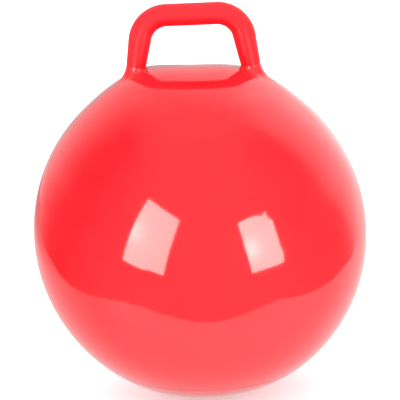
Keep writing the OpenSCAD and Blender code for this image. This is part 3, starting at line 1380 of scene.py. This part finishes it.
@dataclass
class Studio:
    """The stage: a pale floor, the white board on it, two soft boxes and the room round them.

    A ramp such as board_right holds where a level begins and ends to change, and the level at each end.
    """

    sizes: Sizes
    floor_r: float = 14.0
    floor_corners: int = 96
    floor_z: float = -0.0015
    board_z: float = -0.0003
    paint: float = 0.82
    floor_glow: float = 0.45
    # Painted red bounce: gloss sees the floor and board tinted red, standing in for the ball's red light
    # thrown on them.
    painted_red_bounce: tuple[float, float, float, float] = (1.5, 1.0, 1.0, 1.0)
    even_level: float = 1.5
    lamp_r: float = 0.13
    lamp_peak: float = 1.45
    lamp_white: tuple[float, float, float, float] = (1.0, 0.98, 0.92, 1.0)
    panel_fall: tuple[float, float, float, float] = (0.0, 0.52, 1.16, 0.8)
    border_lean: tuple[float, float, float, float] = (0.0, 0.2, 0.9, 1.0)
    crown_from: float = math.radians(50)
    crown_to: float = math.radians(80)
    crown_level: float = 0.38
    board_slant: float = 0.08
    # Where the board's painted shadow under the ball fades out towards the front.
    board_shadow_fade: tuple[float, float, float, float] = (0.10, 0.30, 0.0, 1.0)
    board_right: tuple[float, float, float, float] = (0.05, 0.32, 0.57, 0.72)
    board_left: tuple[float, float, float, float] = (-0.9, -0.45, -0.28, 0.0)
    board_bright: float = 1.02
    board: Pairs = (
        (-1.75, 2.2), (-1.09, 1.07), (-0.80, 0.32), (-0.56, -0.02), (-0.45, -0.21), (-0.35, -0.33),
        (-0.25, -0.37), (-0.14, -0.37), (-0.04, -0.356), (0.03, -0.348), (0.11, -0.358), (0.21, -0.360),
        (0.32, -0.340), (0.42, -0.22), (0.52, -0.095), (0.66, 0.116), (0.80, 0.448), (1.35, 2.2),
    )
    boxes: tuple[SoftBox, ...] = (
        SoftBox("left_soft_box",
                ((-32.8, 30.1), (-11.4, 19.5), (-18.1, 1.1), (-22.1, -11.8), (-30.7, -8.8), (-33.7, -9.1),
                 (-46.2, -4.6), (-40.5, 11.1)),
                lamp=(-38.7, 11.8), power=2.2, mirrored=6.3),
        SoftBox("right_soft_box",
                ((23.0, 16.4), (28.4, 18.0), (35.1, 18.9), (38.8, 18.1), (41.6, 20.2), (42.4, 16.6),
                 (45.1, 14.4), (45.8, 7.5), (47.1, 1.3), (48.9, -3.8), (48.9, -8.7), (36.5, -10.8),
                 (29.0, -12.2), (26.4, -2.0), (24.0, 10.6)),
                lamp=(29.1, 1.6), power=2.2, mirrored=6.5),
    )
    room_levels: Pairs = (
        (-180, 0.50), (-165, 0.43), (-147, 0.52), (-135, 0.47), (-128, 0.36), (-118, 0.22), (-105, 0.07),
        (-88, 0.05), (-72, 0.14), (-52, 0.26), (-35, 0.34), (0, 0.36), (20, 0.40), (40, 0.37), (60, 0.29),
        (76, 0.20), (93, 0.19), (101, 0.28), (108, 0.58), (120, 0.78), (145, 0.94), (154, 0.78), (168, 0.56),
        (180, 0.50),
    )

    def build(self) -> None:
        """Set up the stage and the lights."""
        round_floor = [FULL_TURN * i / self.floor_corners for i in range(self.floor_corners)]
        corners = [Vector((math.cos(t) * self.floor_r, math.sin(t) * self.floor_r, self.floor_z))
                   for t in round_floor]
        self.stage("floor", corners, self.floor_finish("floor_white", self.room_by_azimuth))
        corners = [Vector((x, y, self.board_z)) for x, y in self.board]
        self.stage("board", corners, self.floor_finish("board_white", self.board_level))
        for box in self.boxes:
            corners = [self.seen_from_ball(corner, box.distance) for corner in box.corners]
            self.stage(box.name, corners, self.box_finish(box))
        self.room()
        bpy.context.scene.view_settings.view_transform = "Standard"

    @staticmethod
    def stage(name: str, corners: Sequence[Vector], finish: bpy.types.Material) -> None:
        """Add one flat surface of the stage.

        Args:
            name: Its name.
            corners: Its corners, in order round it.
            finish: Its material.
        """
        piece = Bench.panel(name, corners)
        piece.data.materials.append(finish)

    def seen_from_ball(self, way: tuple[float, float], distance: float) -> Vector:
        """Find a point by where it is seen from the ball's centre.

        Args:
            way: Its azimuth, 0 in front and growing to the right, and its elevation.
            distance: How far away it is.

        Returns:
            The point.
        """
        az, el = (math.radians(angle) for angle in way)
        unit = Vector((math.sin(az) * math.cos(el), -math.cos(az) * math.cos(el), math.sin(el)))
        return self.sizes.centre + unit * distance

    def floor_finish(self, name: str, mirrored: Callable[[Web, Socket], Socket]) -> bpy.types.Material:
        """Mix white paint that takes the shadow, with its own level where gloss mirrors it, tinted red by
        painted bounce light.

        Args:
            name: The material's name.
            mirrored: Adds the nodes of that level to a tree, from a place.

        Returns:
            The new material.
        """
        material = bpy.data.materials.new(name)
        web = Web(material)
        paint = web.add("BsdfDiffuse", Color=(self.paint, self.paint, self.paint, 1)).outputs[0]
        both = web.add("AddShader", paint, web.glow(Strength=self.floor_glow)).outputs[0]
        # Where gloss mirrors the floor it shows painted red bounce light.
        mirror = web.glow(Color=self.painted_red_bounce, Strength=mirrored(web, web.place()))
        seen = web.blend(Ray.CAMERA, paint, both)
        web.finish("OutputMaterial", web.blend(Ray.GLOSSY, seen, mirror))
        return material

    def box_finish(self, box: SoftBox) -> bpy.types.Material:
        """Light a soft box, brightest round its lamp, and keep it out of the camera's sight.

        Args:
            box: The soft box.

        Returns:
            The new material.
        """
        material = bpy.data.materials.new(box.name)
        web = Web(material)
        off = web.distance(web.place(), self.seen_from_ball(box.lamp, box.distance))
        spot = web.span(off, 0.0, self.lamp_r, box.mirrored * self.lamp_peak, box.mirrored, Pace.SMOOTH)
        level = web.product(spot, web.span(off, *self.panel_fall))
        mirrored = web.glow(Color=self.lamp_white, Strength=level)
        lit = web.blend(Ray.GLOSSY, web.glow(Strength=box.power), mirrored)
        clear = web.add("BsdfTransparent").outputs[0]
        web.finish("OutputMaterial", web.blend(Ray.CAMERA, lit, clear))
        return material

    def board_level(self, web: Web, place: Socket) -> Socket:
        """Add the board's mirrored level: bright in front, with a painted shadow of the ball under it, and
        dimmer away to the left.

        Args:
            web: The board's tree.
            place: Object coordinates.

        Returns:
            The level.
        """
        split = web.add("SeparateXYZ", place)
        x, y = split.outputs["X"], split.outputs["Y"]
        ahead = web.sum_of(web.product(x, self.board_slant), web.product(y, -1))
        # Painted shadow: the mirrored level falls from bright in front to the side level under the ball.
        front = web.span(ahead, *self.board_shadow_fade, Pace.SMOOTH)
        right = web.span(x, *self.board_right, Pace.SMOOTH)
        left = web.span(x, *self.board_left, Pace.SMOOTH)
        side = web.sum_of(right, left)
        rest = web.sum_of(web.product(side, -1), self.board_bright)
        return web.sum_of(side, web.product(rest, front))

    def room_by_azimuth(self, web: Web, way: Socket) -> Socket:
        """Add the room's mirrored level by azimuth. Near the floor its borders stand further from the front.

        Args:
            web: The tree.
            way: The direction, or a place far out on the floor.

        Returns:
            The level, as a grey.
        """
        split = web.add("SeparateXYZ", way)
        back = web.product(split.outputs["Y"], -1)
        azimuth = web.add("Math", split.outputs["X"], back, operation="ARCTAN2").outputs[0]
        lean = web.span(split.outputs["Z"], *self.border_lean)
        share = web.span(web.product(azimuth, lean), -math.pi, math.pi, 0.0, 1.0)
        return web.ramp(share, [((degrees + 180) / 360, (level,) * 3) for degrees, level in self.room_levels])

    def room(self) -> None:
        """Light the part evenly, give the ball a studio room to mirror and show plain white behind it."""
        world = bpy.data.worlds.new("studio")
        bpy.context.scene.world = world
        web = Web(world)
        way = web.add("TexCoord").outputs["Generated"]
        level = self.room_by_azimuth(web, way)
        up = web.add("SeparateXYZ", way).outputs["Z"]
        high = web.span(up, math.sin(self.crown_from), math.sin(self.crown_to), 0.0, 1.0, Pace.SMOOTH)
        crown = web.product(web.sum_of(web.product(level, -1), self.crown_level), high)
        mirrored = web.add("Background", web.sum_of(level, crown)).outputs[0]
        even = web.add("Background", (1, 1, 1, 1), self.even_level).outputs[0]
        white = web.add("Background", (1, 1, 1, 1)).outputs[0]
        lit = web.blend(Ray.GLOSSY, even, mirrored)
        web.finish("OutputWorld", web.blend(Ray.CAMERA, lit, white))


@dataclass
class Camera:
    """The camera at the photograph's place, turned so that the ball's centre falls on its own pixel."""

    sizes: Sizes
    distance: float = 2.5
    elevation: float = math.radians(14)
    roll: float = math.radians(2.4)
    focal_px: float = 1850.0
    picture_px: float = 400.0
    ball_px: tuple[float, float] = (200.2, 230.8)
    sensor_mm: float = 36.0

    def build(self) -> None:
        """Set up the camera."""
        data = bpy.data.cameras.new("camera")
        data.sensor_width = self.sensor_mm
        data.lens = self.focal_px / self.picture_px * self.sensor_mm
        camera = bpy.data.objects.new("camera", data)
        bpy.context.scene.collection.objects.link(camera)
        back = Vector((0, -math.cos(self.elevation), math.sin(self.elevation)))
        look = back.to_track_quat("Z", "Y") @ Quaternion((0, 0, 1), -self.roll)
        middle = self.picture_px / 2
        ball = Vector((self.ball_px[0] - middle, middle - self.ball_px[1], -self.focal_px)).normalized()
        aim = Vector((0, 0, -1)).rotation_difference(ball)
        camera.rotation_mode = "QUATERNION"
        camera.rotation_quaternion = look @ aim.inverted()
        camera.location = self.sizes.centre + back * self.distance
        bpy.context.scene.camera = camera


def main() -> None:
    """Build every piece, the stage and the camera, in order."""
    logging.basicConfig(level=logging.INFO, format="%(name)s: %(message)s")
    sizes = Sizes()
    for part in (BallSkin(sizes), Handle(sizes), Valve(sizes), Studio(sizes), Camera(sizes)):
        part.build()
    Bench.clear()


if __name__ == "__main__":
    main()
